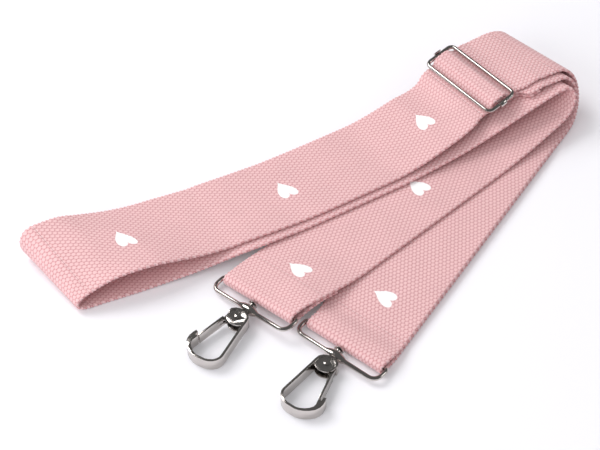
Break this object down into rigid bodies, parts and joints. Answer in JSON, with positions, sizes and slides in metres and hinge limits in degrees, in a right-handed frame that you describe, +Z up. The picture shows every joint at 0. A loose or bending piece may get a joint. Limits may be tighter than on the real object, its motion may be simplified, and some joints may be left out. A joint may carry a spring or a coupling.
{
  "type": "detachable bag strap",
  "caption": "Wide webbing bag strap folded flat, with a sliding adjuster and a swivel ring with a spring-gate snap hook at each end.",
  "frame": {"origin": "bottom centre of the bounding box of the folded strap, on the surface it lies on", "axes": "+X along the folded band towards the pile where its runs cross, +Y across the band away from the two hooks, +Z up"},
  "size_m": [0.327, 0.177, 0.0304],
  "materials": {
    "webbing": "woven cotton-like webbing, matt, dusty pink with small white hearts on its outer face",
    "nickel": "polished nickel plate",
    "spring_steel": "bright spring wire"
  },
  "bodies": {
    "webbing": {"webbing_left_end_loop": "webbing", "webbing_left_run": "webbing", "webbing_inner_fold": "webbing", "webbing_lower_run": "webbing", "webbing_left_fold": "webbing", "webbing_upper_run": "webbing", "webbing_upper_end": "webbing", "webbing_outer_fold": "webbing", "webbing_right_run_lower": "webbing", "webbing_right_end_loop": "webbing", "webbing_right_run_upper": "webbing", "webbing_return_fold": "webbing", "webbing_return_run": "webbing"},
    "slider": {"slider_frame": "nickel", "slider_center_bar": "nickel", "webbing_slider_hump": "webbing", "webbing_sewn_loop": "webbing"},
    "left_ring": {"left_ring": "nickel"},
    "left_hook": {"left_swivel_post": "nickel", "left_hook_body": "nickel", "left_gate_rivet": "nickel", "left_gate_spring": "spring_steel"},
    "left_gate": {"left_gate": "nickel"},
    "right_ring": {"right_ring": "nickel"},
    "right_hook": {"right_swivel_post": "nickel", "right_hook_body": "nickel", "right_gate_rivet": "nickel", "right_gate_spring": "spring_steel"},
    "right_gate": {"right_gate": "nickel"}
  },
  "joints": [
    {"name": "slider_slide", "type": "slide", "parent": "webbing", "child": "slider", "axis": [-0.9969, -0.0418, -0.0663], "range_m": [0, 0.1], "deforming": ["webbing_upper_run", "webbing_upper_end", "webbing_return_run"]},
    {"name": "left_ring_tilt", "type": "hinge", "parent": "webbing", "child": "left_ring", "pos_m": [-0.07236, -0.01016, 0.0058], "axis": [-0.2659, 0.9588, -0.0996], "range_deg": [0, 115]},
    {"name": "left_hook_swivel", "type": "hinge", "parent": "left_ring", "child": "left_hook", "pos_m": [-0.08155, -0.01279, 0.00497], "axis": [-0.936, -0.35, -0.0372], "continuous": true},
    {"name": "left_gate_open", "type": "hinge", "parent": "left_hook", "child": "left_gate", "pos_m": [-0.08913, -0.01563, 0.00467], "axis": [-0.0349, -0.013, 0.9993], "range_deg": [0, 32], "stiffness_Nm_per_rad": 0.03, "springref_deg": -22.92, "deforming": ["left_gate_spring"]},
    {"name": "right_ring_tilt", "type": "hinge", "parent": "webbing", "child": "right_ring", "pos_m": [-0.05021, -0.05895, 0.00335], "axis": [-0.309, 0.9511, 0], "range_deg": [0, 115]},
    {"name": "right_hook_swivel", "type": "hinge", "parent": "right_ring", "child": "right_hook", "pos_m": [-0.05934, -0.06192, 0.0034], "axis": [-0.8829, -0.4695, 0], "continuous": true},
    {"name": "right_gate_open", "type": "hinge", "parent": "right_hook", "child": "right_gate", "pos_m": [-0.06649, -0.06572, 0.0034], "axis": [0, 0, -1], "range_deg": [0, 32], "stiffness_Nm_per_rad": 0.03, "springref_deg": -22.92, "deforming": ["right_gate_spring"]}
  ]
}
